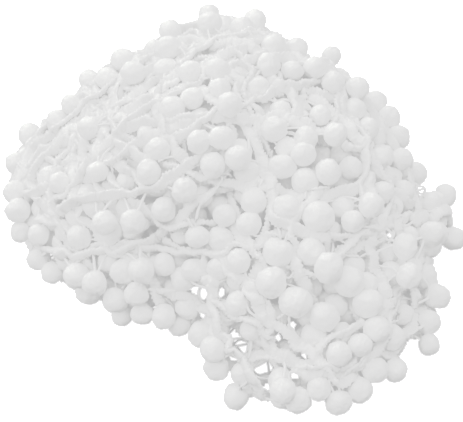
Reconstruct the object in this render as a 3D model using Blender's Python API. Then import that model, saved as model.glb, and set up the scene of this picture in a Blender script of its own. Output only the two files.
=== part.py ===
"""A loose hank of pompom fringe trim, dropped in a heap.

One length of narrow braid carries a row of pompoms, each hung from the braid's edge on a pair of
threads. Most of the length is wound into one heap, built as a single solid of its wound form with
its main twists. The turns that lie loose on the heap are built one by one: a heading (the braid)
and its fringe (edge cord, threads and pompoms, as one comb).

Metres, +Z up. The origin is on the flat base that the heap rests on. -Y is the front.
"""

import math
from collections import namedtuple

import bmesh
import bpy
from mathutils import Vector
from mathutils.bvhtree import BVHTree

MM = 0.001

# The trim.
BALL_DIAMETER = 10.0 * MM
BALL_PITCH = 16.0 * MM
HEADING_WIDTH = 5.5 * MM
HEADING_THICKNESS = 1.2 * MM
HANG = 4.0 * MM
THREAD_WIDTH = 1.0 * MM
THREAD_SPREAD = 3.5 * MM
EDGE_CORD_WIDTH = 1.2 * MM

# Room between two pieces that touch, room under a braid that spans the heap's hollows, and how many
# steps of its route it spans each way.
GAP = 0.5 * MM
HEAP_CLEARANCE = 0.8 * MM
BRAID_SPAN = 4

# Facets.
HEAP_SIDES = 72
HEAP_LEVELS = 24
STEPS_PER_SPAN = 12
HEADING_STEP = 4.0 * MM
THREAD_SIDES = 4
HEAP_SHARP_ANGLE = math.radians(60.0)
PIECE_SHARP_ANGLE = math.radians(50.0)

# The wound heap. Each row is a direction seen from above, anticlockwise from +X, with the reach of
# the foot and of the crown in that direction, in millimetres.
Section = namedtuple("Section", "azimuth foot crown")
SECTIONS = (
    Section(0.0, 78, 56),
    Section(22.5, 74, 56),
    Section(45.0, 80, 60),
    Section(67.5, 84, 64),
    Section(90.0, 90, 78),
    Section(112.5, 96, 76),
    Section(135.0, 101, 70),
    Section(157.5, 104, 65),
    Section(180.0, 94, 62),
    Section(202.5, 74, 59),
    Section(225.0, 61, 56),
    Section(247.5, 51, 55),
    Section(270.0, 76, 58),
    Section(292.5, 87, 60),
    Section(315.0, 86, 61),
    Section(337.5, 78, 59),
)
HEAP_HEIGHT = 65.0 * MM
FOOT_CENTRE = Vector((7.5, 6.6)) * MM
CROWN_CENTRE = Vector((3.3, 18.4)) * MM
BLEND_SHARE = 0.8
TUCK_SHARE = 0.12
TUCK_DEPTH = 0.25
CROWN_POWER = 2.6

# The main twists: the outer turns of the hank, which lie round the heap as raised rings. Each ring
# lies in a plane through the heap's axis at a height, in millimetres. The plane's upward side leans
# by a tilt towards an azimuth, in degrees.
Twist = namedtuple("Twist", "name height azimuth tilt width rise")
TWISTS = (
    Twist("lowest", 8, 250, 3, 4.5, 3.5),
    Twist("second", 21, 290, 9, 5.0, 4.5),
    Twist("third", 33, 200, 12, 5.0, 4.5),
    Twist("fourth", 43, 40, 16, 5.5, 4.5),
    Twist("fifth", 52, 320, 21, 5.5, 4.5),
    Twist("over_left", 44, 215, 52, 6.0, 5.0),
    Twist("over_front", 38, 285, 57, 6.0, 5.0),
    Twist("over_right", 46, 345, 60, 6.0, 5.0),
    Twist("over_back", 42, 85, 55, 6.0, 5.0),
)

# The folds: bundles of turns that stand out from the heap, and the creases between them. Each runs
# over the heap from one azimuth and height (degrees, millimetres) through a second to a third. A
# crease has a negative rise.
Fold = namedtuple("Fold", "name start middle end width rise")
FOLDS = (
    Fold("left_bundle", (176, 16), (205, 46), (250, 62), 14, 2.5),
    Fold("right_bundle", (20, 52), (322, 46), (296, 14), 15, 3.0),
    Fold("crown_bundle", (150, 52), (95, 63), (40, 52), 14, 2.5),
    Fold("back_bundle", (135, 20), (90, 34), (40, 18), 15, 2.5),
    Fold("middle_crease", (250, 14), (262, 42), (284, 63), 9, -5.0),
    Fold("left_crease", (196, 10), (226, 30), (240, 44), 8, -3.0),
    Fold("right_crease", (0, 22), (335, 30), (318, 20), 8, -3.0),
    Fold("back_crease", (170, 34), (110, 48), (60, 36), 9, -3.5),
)

# The loose turns, as azimuth and height over the heap (degrees, millimetres) and how far they stand
# proud of it. Side is +1 where the pompoms hang to the left of the way the turn runs, seen from
# outside, and -1 to the right. Roll tips the braid from lying flat towards standing on its edge.
Turn = namedtuple("Turn", "name side roll route")
TURNS = (
    Turn("front_loop", -1, 20, ((258, 36, 1), (261, 28, 1), (265, 20, 2), (271, 11, 3), (276, 4, 4))),
    Turn("front_upper", 1, 0, ((270, 37, 1), (276, 30, 0), (282, 26, 0), (287, 21, 0))),
    Turn("front_lower", -1, 0, ((275, 23, 0), (281, 19, 0), (288, 14, 0), (299, 11, 0))),
    Turn("right_inner", 1, 0, ((325, 40, 0), (317, 34, 0), (313, 30, 1), (309, 23, 1))),
    Turn("right_outer", 1, 0, ((336, 29, 0), (334, 23, 0), (330, 17, 0), (321, 12, 0))),
    Turn("right_top", -1, 10, ((300, 55, 0), (312, 51, 0), (324, 46, 0), (334, 40, 0))),
    Turn("middle", -1, 0, ((95, 64.3, 0), (290, 64.5, 0), (291, 62, 0), (290, 57.5, 0))),
    Turn("crest", 1, 30, ((146, 61, 0), (116, 61, 0), (88, 59, 0), (70, 56, 0))),
    Turn("left_lower", -1, 60, ((192, 12, 0), (207, 24, 0), (219, 29, 0), (231, 38, 0))),
    Turn("left_upper", -1, 60, ((191, 30, 0), (206, 40, 0), (223, 51, 0), (242, 60, 0))),
    Turn("left_edge", 1, 30, ((162, 26, 0), (151, 35, 0), (140, 42, 0), (127, 47, 0))),
    Turn("back_right", 1, 0, ((60, 42, 0), (43, 38, 0), (28, 34, 0), (11, 29, 0))),
    Turn("far_right", 1, 0, ((343, 26, 0), (353, 19, 2), (1, 12, 5), (4, 6, 9))),
)


def material(name, colour, roughness):
    made = bpy.data.materials.new(name)
    made.use_nodes = True
    shader = made.node_tree.nodes["Principled BSDF"]
    shader.inputs["Base Color"].default_value = (*colour, 1.0)
    shader.inputs["Roughness"].default_value = roughness
    shader.inputs["Metallic"].default_value = 0.0
    return made


def clear_scene():
    for thing in list(bpy.data.objects):
        bpy.data.objects.remove(thing, do_unlink=True)


def object_of(mesh, name, finish, sharp_angle=PIECE_SHARP_ANGLE):
    data = bpy.data.meshes.new(name)
    mesh.to_mesh(data)
    mesh.free()
    data.materials.append(finish)
    data.shade_smooth()
    data.set_sharp_from_angle(angle=sharp_angle)
    return bpy.data.objects.new(name, data)


def show(made):
    bpy.context.scene.collection.objects.link(made)


def help_with(made, collection):
    """Puts a helper, which another object's Boolean reads, in a collection that isn't rendered."""
    made.hide_render = True
    made.display_type = "WIRE"
    collection.objects.link(made)


def smooth_step(x):
    x = min(max(x, 0.0), 1.0)
    return x * x * (3.0 - 2.0 * x)


def smooth_between(p0, p1, p2, p3, t):
    """A point of the smooth curve through four points, t of the way from the second to the third."""
    a = (p2 - p0) * t
    b = (p0 * 2.0 - p1 * 5.0 + p2 * 4.0 - p3) * (t * t)
    c = (p1 * 3.0 - p0 - p2 * 3.0 + p3) * (t * t * t)
    return (p1 * 2.0 + a + b + c) * 0.5


def reach_at(column, azimuth):
    """The reach of the foot or the crown in any direction, in metres."""
    place = (azimuth % 360.0) / 360.0 * len(SECTIONS)
    first = int(place)
    values = [getattr(SECTIONS[(first + k) % len(SECTIONS)], column) for k in (-1, 0, 1, 2)]
    return smooth_between(*values, place - first) * MM


def plain_point(azimuth, height):
    """A point of the heap before its twists and folds. Height is in metres."""
    share = min(max(height / HEAP_HEIGHT, 0.0), 1.0)
    upper = smooth_step(share / BLEND_SHARE)
    reach = reach_at("foot", azimuth) * (1.0 - upper) + reach_at("crown", azimuth) * upper
    tuck = max(0.0, TUCK_SHARE - share) / TUCK_SHARE
    reach *= math.sqrt(1.0 - TUCK_DEPTH * tuck * tuck)
    over = max(0.0, share - TUCK_SHARE) / (1.0 - TUCK_SHARE)
    reach *= math.sqrt(max(0.0, 1.0 - over**CROWN_POWER))
    centre = FOOT_CENTRE.lerp(CROWN_CENTRE, upper)
    angle = math.radians(azimuth)
    return Vector(
        (centre.x + reach * math.cos(angle), centre.y + reach * math.sin(angle), height)
    )


def smooth_route(points):
    """Points along a smooth curve through a route's own points."""
    ends = [points[0] * 2.0 - points[1], *points, points[-1] * 2.0 - points[-2]]
    found = []
    for i in range(1, len(ends) - 2):
        for step in range(STEPS_PER_SPAN):
            found.append(smooth_between(*ends[i - 1 : i + 3], step / STEPS_PER_SPAN))
    return [*found, points[-1].copy()]


def level_shares():
    """Heights of the heap's levels, as shares, closer together near the crown."""
    shares = []
    for level in range(HEAP_LEVELS):
        shares.append(math.sin(0.5 * math.pi * level / HEAP_LEVELS))
    return shares


def heap_rings():
    """Rings of plain points, bottom to top, and the crown's middle point."""
    rings = []
    for share in level_shares():
        ring = [
            plain_point(360.0 * side / HEAP_SIDES, share * HEAP_HEIGHT) for side in range(HEAP_SIDES)
        ]
        rings.append(ring)
    return rings, Vector((CROWN_CENTRE.x, CROWN_CENTRE.y, HEAP_HEIGHT))


def heap_mesh_of(rings, crown):
    """A closed mesh from the rings, with a flat base and a fan over the crown."""
    mesh = bmesh.new()
    loops = [[mesh.verts.new(point) for point in ring] for ring in rings]
    for lower, upper in zip(loops, loops[1:]):
        for side in range(HEAP_SIDES):
            after = (side + 1) % HEAP_SIDES
            mesh.faces.new((lower[side], lower[after], upper[after], upper[side]))
    mesh.faces.new(loops[0][::-1])
    top = mesh.verts.new(crown)
    for side in range(HEAP_SIDES):
        mesh.faces.new((loops[-1][side], loops[-1][(side + 1) % HEAP_SIDES], top))
    mesh.normal_update()
    return mesh


def fold_paths():
    """Each fold with the points that it runs through."""
    paths = []
    for fold in FOLDS:
        corners = [plain_point(a, h * MM) for a, h in (fold.start, fold.middle, fold.end)]
        paths.append((fold, smooth_route(corners)))
    return paths


def twist_rise(point):
    """How far the highest of the rings lifts the heap at a point."""
    highest = 0.0
    for twist in TWISTS:
        tilt = math.radians(twist.tilt)
        lean = math.radians(twist.azimuth)
        level = math.sin(tilt)
        up = Vector((level * math.cos(lean), level * math.sin(lean), math.cos(tilt)))
        axis = Vector((CROWN_CENTRE.x, CROWN_CENTRE.y, twist.height * MM))
        away = (point - axis).dot(up) / (twist.width * MM)
        highest = max(highest, twist.rise * MM * math.exp(-away * away))
    return highest


def fold_rise(point, paths):
    """How far the folds lift, or the creases sink, the heap at a point."""
    total = 0.0
    for fold, path in paths:
        away = min((point - on_path).length for on_path in path) / (fold.width * MM)
        total += fold.rise * MM * math.exp(-away * away)
    return total


def raise_twists(mesh):
    """Lifts the heap along its normals by its twists and folds, all but its base."""
    paths = fold_paths()
    base = set(mesh.verts[:HEAP_SIDES])
    moves = []
    for vertex in mesh.verts:
        lift = 0.0 if vertex in base else twist_rise(vertex.co) + fold_rise(vertex.co, paths)
        moves.append(vertex.normal * lift)
    for vertex, move in zip(mesh.verts, moves):
        vertex.co += move


def make_heap(finish):
    """The wound heap as one solid. Returns a tree of its surface, for what lies on it."""
    mesh = heap_mesh_of(*heap_rings())
    raise_twists(mesh)
    tree = BVHTree.FromBMesh(mesh)
    show(object_of(mesh, "wound_trim", finish, HEAP_SHARP_ANGLE))
    return tree


def even_points(points, spacing):
    """The curve through the points, cut into equal steps near the spacing."""
    lengths = [0.0]
    for a, b in zip(points, points[1:]):
        lengths.append(lengths[-1] + (b - a).length)
    count = max(2, round(lengths[-1] / spacing))
    found = []
    span = 0
    for i in range(count + 1):
        wanted = lengths[-1] * i / count
        while span < len(points) - 2 and lengths[span + 1] < wanted:
            span += 1
        share = (wanted - lengths[span]) / (lengths[span + 1] - lengths[span])
        found.append(points[span].lerp(points[span + 1], share))
    return found


def lay_on_heap(turn, tree):
    """The turn's route on the heap: (points, surface normals), lifted clear of it."""
    corners = [plain_point(azimuth, height * MM) for azimuth, height, proud in turn.route]
    prouds = [Vector((proud * MM, 0.0, 0.0)) for azimuth, height, proud in turn.route]
    rolled = math.radians(turn.roll)
    low_edge = 0.5 * HEADING_WIDTH + GAP + EDGE_CORD_WIDTH
    half = low_edge * math.sin(rolled) + 0.5 * HEADING_THICKNESS * math.cos(rolled)
    points = []
    normals = []
    for point, proud in zip(smooth_route(corners), smooth_route(prouds)):
        on_heap, normal, _, _ = tree.find_nearest(point)
        points.append(on_heap + normal * (half + GAP + max(0.0, proud.x)))
        normals.append(normal)
    points = [spanned(points, k) for k in range(len(points))]
    for point in points:
        point.z = max(point.z, half)
    return points, normals


def spanned(points, k):
    """A point of the route as taut braid takes it: the mean of its neighbours, over the hollows."""
    near = points[max(0, k - BRAID_SPAN) : k + BRAID_SPAN + 1]
    return sum(near, Vector()) / len(near)


def clear_of_heap(point, reaches, tree):
    """How far to lift a point so that each of these offsets from it clears the heap."""
    short = 0.0
    for reach in reaches:
        on_heap, normal, _, _ = tree.find_nearest(point + reach)
        short = max(short, HEAP_CLEARANCE - (point + reach - on_heap).dot(normal))
    return short


def frames_along(points, normals, turn, tree):
    """(point, along, across, out) at equal steps, clear of the heap. Across points to the pompoms."""
    even = even_points(points, HEADING_STEP)
    found = []
    lifts = []
    for i, point in enumerate(even):
        along = (even[min(i + 1, len(even) - 1)] - even[max(i - 1, 0)]).normalized()
        nearest = min(range(len(points)), key=lambda k: (points[k] - point).length_squared)
        near = normals[max(0, nearest - BRAID_SPAN) : nearest + BRAID_SPAN + 1]
        out = sum(near, Vector()).normalized()
        out = (out - along * out.dot(along)).normalized()
        across = out.cross(along) * turn.side
        found.append((point, along, across, out))
        wide = rolled_across(across, out, turn.roll)
        low = out * (-0.5 * HEADING_THICKNESS)
        far_edge = wide * (-0.5 * HEADING_WIDTH)
        near_edge = wide * (0.5 * HEADING_WIDTH + GAP + EDGE_CORD_WIDTH)
        lifts.append(clear_of_heap(point, (low, low + far_edge, low + near_edge), tree))
    clear = []
    for i, (point, along, across, out) in enumerate(found):
        lift = max(lifts[max(0, i - 1) : i + 2])
        clear.append((point + out * lift, along, across, out))
    return clear


def rolled_across(across, out, roll):
    """The braid's width direction, tipped up from the heap at the edge away from the pompoms."""
    tip = math.radians(roll)
    return across * math.cos(tip) - out * math.sin(tip)


def tube_faces(mesh, rings):
    """Closes a run of rings of vertices into a tube with flat ends."""
    for lower, upper in zip(rings, rings[1:]):
        count = len(lower)
        for k in range(count):
            after = (k + 1) % count
            mesh.faces.new((lower[k], lower[after], upper[after], upper[k]))
    mesh.faces.new(rings[0][::-1])
    mesh.faces.new(rings[-1])
    bmesh.ops.recalc_face_normals(mesh, faces=mesh.faces)


def swept_bar(path, width, depth):
    """A bar of rectangular section along (point, width direction, depth direction) rows."""
    mesh = bmesh.new()
    rings = []
    for point, wide, deep in path:
        w = wide * (0.5 * width)
        d = deep * (0.5 * depth)
        rings.append([mesh.verts.new(point + p) for p in (w + d, d - w, -w - d, w - d)])
    tube_faces(mesh, rings)
    return mesh


def make_heading(turn, frames, finish):
    rows = []
    for point, along, across, out in frames:
        wide = rolled_across(across, out, turn.roll)
        rows.append((point, wide, wide.cross(along).normalized()))
    bar = swept_bar(rows, HEADING_WIDTH, HEADING_THICKNESS)
    show(object_of(bar, "heading_" + turn.name, finish))


def edge_point(frame, roll):
    """Where the edge cord runs: beside the braid's edge on the pompoms' side."""
    point, along, across, out = frame
    away = 0.5 * HEADING_WIDTH + GAP + 0.5 * EDGE_CORD_WIDTH
    return point + rolled_across(across, out, roll) * away


def ball_centre(frame, tree):
    """A pompom's centre: hung out to the side of the braid, then let down onto the heap."""
    point, along, across, out = frame
    radius = 0.5 * BALL_DIAMETER
    centre = point + across * (0.5 * HEADING_WIDTH + HANG + radius)
    for _ in range(3):
        on_heap, normal, _, _ = tree.find_nearest(centre)
        away = centre - on_heap
        if away.dot(normal) < 0.0:
            away = normal.copy()
        centre = on_heap + away.normalized() * (radius + GAP)
    centre.z = max(centre.z, radius)
    return centre


def ball_helper(name, centre, finish):
    mesh = bmesh.new()
    bmesh.ops.create_icosphere(mesh, subdivisions=2, radius=0.5 * BALL_DIAMETER)
    bmesh.ops.translate(mesh, verts=mesh.verts, vec=centre)
    return object_of(mesh, name, finish)


def over_heap(place, tree, clearance):
    """The place itself, or the nearest place above it that clears the heap."""
    on_heap, normal, _, _ = tree.find_nearest(place)
    above = (place - on_heap).dot(normal)
    return place + normal * max(0.0, clearance - above)


def thread_helper(name, start, end, tree, finish):
    """A thread that starts inside the edge cord, passes over the heap and ends in the pompom."""
    mesh = bmesh.new()
    middle = over_heap(start.lerp(end, 0.5), tree, THREAD_WIDTH)
    along = (end - start).normalized()
    wide = along.orthogonal().normalized()
    deep = along.cross(wide)
    rings = []
    for place in (start, middle, end):
        ring = []
        for side in range(THREAD_SIDES):
            angle = 2.0 * math.pi * side / THREAD_SIDES
            offset = wide * math.cos(angle) + deep * math.sin(angle)
            ring.append(mesh.verts.new(place + offset * (0.5 * THREAD_WIDTH)))
        rings.append(ring)
    tube_faces(mesh, rings)
    return object_of(mesh, name, finish)


def add_drops(turn, frames, tree, finish, drops):
    """The turn's pompoms with their pairs of threads, evenly spaced along its edge cord."""
    steps_per_ball = BALL_PITCH / HEADING_STEP
    spread = THREAD_SPREAD / HEADING_STEP
    last = len(frames) - 1
    count = int(last / steps_per_ball)
    margin = 0.5 * (last - (count - 1) * steps_per_ball)
    for k in range(count):
        place = margin + k * steps_per_ball
        centre = ball_centre(frames[round(place)], tree)
        name = f"{turn.name}_{k}"
        help_with(ball_helper("ball_" + name, centre, finish), drops)
        for hand, sign in (("before", -1), ("after", 1)):
            start = edge_point(frames[round(place + sign * spread)], turn.roll)
            thread = thread_helper(f"thread_{name}_{hand}", start, centre, tree, finish)
            help_with(thread, drops)


def make_fringe(turn, frames, tree, finish):
    """The comb beside one heading: edge cord, paired threads and pompoms joined into one solid."""
    rows = []
    for frame in frames:
        point, along, across, out = frame
        rows.append((edge_point(frame, turn.roll), across, out))
    bar = swept_bar(rows, EDGE_CORD_WIDTH, EDGE_CORD_WIDTH)
    fringe = object_of(bar, "fringe_" + turn.name, finish)
    show(fringe)
    drops = bpy.data.collections.new("drops_" + turn.name)
    drops.hide_render = True
    bpy.context.scene.collection.children.link(drops)
    add_drops(turn, frames, tree, finish, drops)
    join = fringe.modifiers.new("join", "BOOLEAN")
    join.operation = "UNION"
    join.operand_type = "COLLECTION"
    join.collection = drops
    join.solver = "EXACT"


def main():
    clear_scene()
    wound_yarn = material("wound_yarn", (0.80, 0.80, 0.79), 0.95)
    braid = material("braid", (0.82, 0.82, 0.81), 0.90)
    pompom_yarn = material("pompom_yarn", (0.84, 0.84, 0.83), 0.95)
    tree = make_heap(wound_yarn)
    for turn in TURNS:
        points, normals = lay_on_heap(turn, tree)
        frames = frames_along(points, normals, turn, tree)
        make_heading(turn, frames, braid)
        make_fringe(turn, frames, tree, pompom_yarn)


main()
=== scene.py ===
"""The looks of a loose hank of pompom fringe trim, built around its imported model.

The whole length of the trim is one chain: a ribbed braid with a pompom every 16 mm, each hung from
the braid's edge on a pair of threads. The loose turns start on the model's headings and combs, and
stay within about 3 mm of their braid and 8 mm of their pompoms. From one loose turn to the next the
chain wanders through the wound heap. Then all of it is settled, in rounds that ease pompoms and
braid apart, the chain toward its length and all of it into the heap. The rounds do not end with all
of that met: pompoms still overlap by about 0.6 mm where they are pressed, and the settled chain is
about 4 percent longer than its pitch makes it.

Metres, +Z up, in the frame of the model. -Y is the front.
"""

import math
from collections import namedtuple

import bmesh
import bpy
import numpy as np
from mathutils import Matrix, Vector
from mathutils.bvhtree import BVHTree


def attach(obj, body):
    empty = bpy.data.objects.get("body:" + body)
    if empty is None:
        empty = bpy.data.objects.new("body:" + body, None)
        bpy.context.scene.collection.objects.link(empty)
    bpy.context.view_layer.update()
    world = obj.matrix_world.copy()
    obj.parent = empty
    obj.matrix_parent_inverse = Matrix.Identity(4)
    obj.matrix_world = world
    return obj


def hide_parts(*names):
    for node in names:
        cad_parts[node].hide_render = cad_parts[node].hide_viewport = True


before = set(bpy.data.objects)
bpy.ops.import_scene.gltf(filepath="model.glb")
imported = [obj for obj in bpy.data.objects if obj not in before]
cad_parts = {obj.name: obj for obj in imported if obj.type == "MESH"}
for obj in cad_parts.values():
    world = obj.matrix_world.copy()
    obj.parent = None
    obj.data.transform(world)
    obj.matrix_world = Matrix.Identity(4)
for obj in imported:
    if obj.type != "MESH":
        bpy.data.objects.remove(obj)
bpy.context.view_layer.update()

MM = 0.001
WHITE = (1.0, 1.0, 1.0, 1.0)
SEED = 7
HEAP = "wound_trim"
HEADING = "heading_"
FRINGE = "fringe_"

# The trim. The wandering runs overshoot their shares of its length, so that the chain comes out at
# 18.9 m. The braid is narrower than the model's 5.5 mm headings, as it was read in the photograph.
TRIM_LENGTH = 18.3
NODE_STEP = 4.0 * MM
NODES_PER_BALL = 4
BALL_RADIUS = 5.0 * MM
BALL_SHRINK = 0.95
BALL_SIZE_SPREAD = 0.045
BRAID_WIDTH = 4.5 * MM
BRAID_THICKNESS = 2.0 * MM
THREAD_SPREAD = 4.0 * MM
THREAD_RADIUS = 0.55 * MM

# The camera, at the angle assumed for the photograph: 50 degrees down on the heap.
CAMERA_TARGET = Vector((0.0, 0.0, 26.0)) * MM
CAMERA_ELEVATION = math.radians(50.0)
CAMERA_DISTANCE = 550.0 * MM
CAMERA_LENS_MM = 104.77
SENSOR_MM = 36.0

# The photograph's soft, bright tones: shadows lifted, whites left white.
TONE = ((0.0, 0.44), (0.16, 0.6), (0.3, 0.695), (0.6, 0.764), (0.88, 0.859), (1.0, 0.99))
SKY_FROM = (-0.35, 0.32, 0.88)
SKY = (0.0, 1.48)
SKY_RANGE = (-0.15, 1.0)
FLOOR_GREY = (0.95, 0.95, 0.95, 1.0)
FLOOR_GLOW = 1.0
FLOOR_HALF = 4.0
LAMP_PLACE = Vector((-0.6, 0.3, 0.9))
LAMP_SIZE = 0.9
LAMP_POWER = 0.9


# ---- camera, floor and light


def put(name, data):
    """A new object in the scene."""
    made = bpy.data.objects.new(name, data)
    bpy.context.scene.collection.objects.link(made)
    return made


def aim(thing):
    way = CAMERA_TARGET - thing.location
    thing.rotation_euler = way.to_track_quat("-Z", "Y").to_euler()


def give(node, values):
    """Sets the inputs of a shader node by their names."""
    for name, value in values.items():
        node.inputs[name].default_value = value


def make_camera():
    camera = put("camera", bpy.data.cameras.new("camera"))
    camera.data.sensor_width = SENSOR_MM
    camera.data.lens = CAMERA_LENS_MM
    back = Vector((0.0, -math.cos(CAMERA_ELEVATION), math.sin(CAMERA_ELEVATION)))
    camera.location = CAMERA_TARGET + back * CAMERA_DISTANCE
    aim(camera)
    bpy.context.scene.camera = camera


def make_floor():
    signs = ((-1, -1), (1, -1), (1, 1), (-1, 1))
    corners = [(x * FLOOR_HALF, y * FLOOR_HALF, 0.0) for x, y in signs]
    data = bpy.data.meshes.new("floor")
    data.from_pydata(corners, [], [(0, 1, 2, 3)])
    floor = put("floor", data)
    finish = bpy.data.materials.new("floor")
    finish.use_nodes = True
    shader = finish.node_tree.nodes["Principled BSDF"]
    give(shader, {"Base Color": FLOOR_GREY, "Roughness": 0.9, "Specular IOR Level": 0.1})
    give(shader, {"Emission Color": WHITE, "Emission Strength": FLOOR_GLOW})
    data.materials.append(finish)
    floor.visible_diffuse = False


def make_lamp():
    lamp = put("key", bpy.data.lights.new("key", "AREA"))
    lamp.data.shape = "DISK"
    lamp.data.size = LAMP_SIZE
    lamp.data.energy = LAMP_POWER
    lamp.location = LAMP_PLACE
    aim(lamp)


def make_light():
    world = bpy.data.worlds.new("studio")
    world.use_nodes = True
    tree = world.node_tree
    facing = tree.nodes.new("ShaderNodeVectorMath")
    facing.operation = "DOT_PRODUCT"
    facing.inputs[1].default_value = SKY_FROM
    tree.links.new(tree.nodes.new("ShaderNodeTexCoord").outputs["Generated"], facing.inputs[0])
    strength = ranged(tree, facing.outputs["Value"], *SKY, *SKY_RANGE)
    tree.links.new(strength, tree.nodes["Background"].inputs["Strength"])
    give(tree.nodes["Background"], {"Color": WHITE})
    bpy.context.scene.world = world
    make_lamp()
    view = bpy.context.scene.view_settings
    view.view_transform = "Standard"
    view.use_curve_mapping = True
    tone = view.curve_mapping.curves[3]
    tone.points[0].location = TONE[0]
    tone.points[-1].location = TONE[-1]
    for place in TONE[1:-1]:
        tone.points.new(*place)
    view.curve_mapping.update()


# ---- the model's loose turns

Turn = namedtuple("Turn", "name line wide out balls at")
SECTION_CORNERS = 4
BALL_CORNERS = 42
CENTRE_ROUNDS = 12
BALL_NEAR = 1.25 * BALL_RADIUS
BALL_PAST = 1.45 * BALL_RADIUS


def corners_of(node):
    """The distinct corners of a CAD node's mesh."""
    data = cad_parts[node].data
    found = np.empty(len(data.vertices) * 3)
    data.vertices.foreach_get("co", found)
    return np.unique(np.round(found.reshape(-1, 3), 6), axis=0)


def lengths(vectors):
    return np.linalg.norm(vectors, axis=-1)


def unit(vectors):
    length = lengths(vectors)[..., None]
    return vectors / np.maximum(length, 1e-12)


def blurred(values, times):
    for _ in range(times):
        ends = np.concatenate([values[:1], values, values[-1:]])
        values = 0.25 * ends[:-2] + 0.5 * ends[1:-1] + 0.25 * ends[2:]
    return values


def sections_of(corners):
    """A heading's cross-sections from one end to the other, each as its four corners."""
    from_middle = lengths(corners - corners.mean(axis=0))
    tip = corners[from_middle.argmax()]
    near = lengths(corners - tip).argsort()[: 4 * SECTION_CORNERS]
    inward = corners[near].mean(axis=0)
    ahead = near[(corners[near] @ (inward - tip)).argsort()[:SECTION_CORNERS]]
    found = []
    while len(corners):
        section = corners[ahead]
        place = section.mean(axis=0)
        way = place - found[-1].mean(axis=0) if found else unit(inward - place) * NODE_STEP
        found.append(section)
        corners = np.delete(corners, ahead, axis=0)
        ahead = lengths(corners - place - way).argsort()[:SECTION_CORNERS]
    return np.array(found)


def read_turn(name, field):
    """A loose turn of the model: its line, its braid's width and outward directions, its pompoms."""
    sections = sections_of(corners_of(HEADING + name))
    line = sections.mean(axis=1)
    comb = corners_of(FRINGE + name)
    sides = sections[:, 1:] - sections[:, :1]
    wide = unit(sides[np.arange(len(sides)), lengths(sides).argsort(axis=1)[:, 1]])
    nearest = lengths(comb[:, None] - line[None]).argmin(axis=1)
    lean = np.zeros_like(line)
    np.add.at(lean, nearest, comb - line[nearest])
    hand = np.sign((lean * wide).sum(axis=1))
    wide *= np.where(hand == 0.0, 1.0, hand)[:, None]
    out = field_at(field, line)[:, 1:]
    return Turn(name, line, wide, unit(out), *pompoms_of(comb, line, wide))


def pompoms_of(comb, line, wide):
    """The centres of a comb's pompoms and the step of the heading that each hangs from."""
    along = lengths(comb[:, None] - line[None]).min(axis=1)
    far = comb[along > BRAID_WIDTH]
    centres = []
    while len(far):
        seed = far[lengths(far - line.mean(axis=0)).argmax()]
        centre = seed
        for _ in range(CENTRE_ROUNDS):
            near = far[lengths(far - centre) < BALL_NEAR]
            centre = near.mean(axis=0)
        if len(near) > BALL_CORNERS / 2:
            centres.append(centre)
        far = far[lengths(far - centre) > BALL_PAST]
    centres = np.array(centres)
    at = lengths(centres[:, None] - line[None]).argmin(axis=1)
    return centres[at.argsort()], np.sort(at)


# ---- the heap's distance field

Field = namedtuple("Field", "low values")
FIELD_STEP = 4.0 * MM
FIELD_MARGIN = 16.0 * MM


def make_field(node):
    """Distance from the heap's surface on a grid, positive outside it, and its gradient."""
    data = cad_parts[node].data
    tree = BVHTree.FromPolygons([v.co for v in data.vertices], [p.vertices for p in data.polygons])
    low = corners_of(node).min(axis=0) - FIELD_MARGIN
    high = corners_of(node).max(axis=0) + FIELD_MARGIN
    counts = np.ceil((high - low) / FIELD_STEP).astype(int) + 1
    away = np.empty(counts)
    for index in np.ndindex(*counts):
        place = Vector(low + np.array(index) * FIELD_STEP)
        on_heap, normal, _, _ = tree.find_nearest(place)
        offset = place - on_heap
        away[index] = math.copysign(offset.length, offset.dot(normal))
    slopes = np.gradient(away, FIELD_STEP)
    return Field(low, np.stack([away, *slopes], axis=-1))


def field_at(field, points):
    """The field's four values at each point: signed distance, then gradient."""
    place = (points - field.low) / FIELD_STEP
    top = np.array(field.values.shape[:3]) - 2
    cell = np.clip(np.floor(place).astype(int), 0, top)
    share = np.clip(place - cell, 0.0, 1.0)
    total = 0.0
    for corner in np.ndindex(2, 2, 2):
        picked = cell + corner
        weight = np.where(corner, share, 1.0 - share).prod(axis=1)
        total = total + field.values[tuple(picked.T)] * weight[:, None]
    return total


# ---- the chain through the heap

WANDER_STEP = 24.0 * MM
WANDER_DEPTH = 4.0 * MM
WANDER_SPREAD = 1.1
WANDER_CHOICES = 24
TURN_COST = 1.6
FLOOR_ROOM = 4.0 * MM
FLOOR_FADE = 0.5 * MM
CROWD_CELL = 12.0 * MM
CROWD_BESIDE = 0.3
GOAL_STEPS = 3.0
HANG = 10.5 * MM
LEAN_OUT = 0.8

Run = namedtuple("Run", "name line turn")
Stretch = namedtuple("Stretch", "name loose first last")
Chain = namedtuple("Chain", "nodes fixed wide out ball_node balls homes radius stretches")


class Crowd:
    """How much of the chain lies in each cell of the heap so far."""

    def __init__(self, field):
        self.low = field.low
        size = np.array(field.values.shape[:3]) * FIELD_STEP / CROWD_CELL
        self.count = np.zeros(np.ceil(size).astype(int) + 2)

    def cells(self, points):
        index = ((points - self.low) / CROWD_CELL).astype(int) + 1
        return tuple(np.clip(index, 1, np.array(self.count.shape) - 2).T)

    def add(self, points):
        for x, y, z in zip(*self.cells(points)):
            self.count[x - 1 : x + 2, y - 1 : y + 2, z - 1 : z + 2] += CROWD_BESIDE
            self.count[x, y, z] += 1.0

    def at(self, points):
        return self.count[self.cells(points)]


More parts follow.
